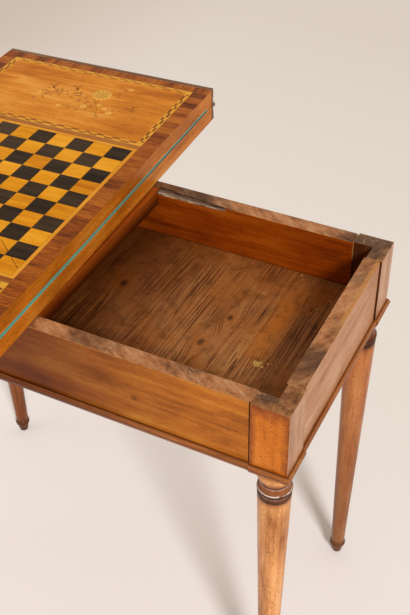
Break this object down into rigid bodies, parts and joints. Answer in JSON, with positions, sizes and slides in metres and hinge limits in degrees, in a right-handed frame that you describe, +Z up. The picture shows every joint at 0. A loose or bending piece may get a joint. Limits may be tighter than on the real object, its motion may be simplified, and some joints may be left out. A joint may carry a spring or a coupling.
{
  "type": "games table",
  "caption": "Games table on turned tapering legs; the folded inlaid top swivels on a pivot and opens like a book, over a frame with a shallow compartment.",
  "frame": {"origin": "on the floor, under the middle of the frame of legs and rails", "axes": "+X along the frame to the right, towards the uncovered half; +Y to the back; +Z up"},
  "size_m": [0.7978, 0.8143, 0.7635],
  "materials": {
    "walnut": "waxed",
    "pine": "stained",
    "iron": "worn",
    "red_brown_wood": "waxed",
    "leaf_walnut": "waxed",
    "dark_walnut": "waxed",
    "crossband_walnut": "polished",
    "baize": "matt",
    "brass": "aged",
    "border_inlay": "polished",
    "fruitwood": "polished",
    "boxwood": "polished",
    "dark_veneer": "polished",
    "light_veneer": "polished"
  },
  "bodies": {
    "frame": {"leg_front_right": "walnut", "leg_back_right": "walnut", "leg_back_left": "walnut", "leg_front_left": "walnut", "post_moulding_front_right": "walnut", "post_moulding_back_right": "walnut", "post_moulding_back_left": "walnut", "post_moulding_front_left": "walnut", "rail_front": "walnut", "rail_right": "walnut", "rail_back": "walnut", "rail_left": "walnut", "rail_moulding_front": "walnut", "rail_moulding_right": "walnut", "rail_moulding_back": "walnut", "rail_moulding_left": "walnut", "floor_board_left": "pine", "floor_board_right": "pine", "floor_bearer_front": "pine", "floor_bearer_back": "pine", "floor_nails": "iron", "pivot_board": "red_brown_wood"},
    "lower_leaf": {"lower_leaf_ground": "leaf_walnut", "lower_lipping_far": "dark_walnut", "lower_lipping_near": "dark_walnut", "lower_border_side": "crossband_walnut", "lower_border_ends": "crossband_walnut", "lower_baize": "baize", "lower_hinge_plates": "brass", "lower_hinge_screws": "brass", "hinge_pins": "brass", "pivot_bolt": "iron", "pivot_flange_screws": "iron", "pivot_washer": "iron", "pivot_nut": "iron"},
    "upper_leaf": {"upper_leaf_ground": "leaf_walnut", "upper_lipping_far": "dark_walnut", "upper_lipping_near": "dark_walnut", "upper_border_side": "crossband_walnut", "upper_border_ends": "crossband_walnut", "upper_baize": "baize", "upper_hinge_plates": "brass", "upper_hinge_screws": "brass", "crossband_fold": "crossband_walnut", "crossband_outer": "crossband_walnut", "crossband_far": "crossband_walnut", "crossband_near": "crossband_walnut", "divider_band_far": "crossband_walnut", "divider_band_near": "crossband_walnut", "panel_far": "fruitwood", "panel_near": "fruitwood", "panel_border_far": "border_inlay", "panel_border_near": "border_inlay", "board_stringing": "boxwood", "dark_squares": "dark_veneer", "light_squares": "light_veneer"}
  },
  "joints": [
    {"name": "swivel", "type": "hinge", "parent": "frame", "child": "lower_leaf", "pos_m": [-0.1, 0.1, 0.7067], "axis": [0, 0, 1], "range_deg": [-2.1, 87.9]},
    {"name": "leaf_fold", "type": "hinge", "parent": "lower_leaf", "child": "upper_leaf", "pos_m": [0.0036, 0.00373, 0.7351], "axis": [-0.0366, 0.9993, 0], "range_deg": [0, 180]}
  ]
}
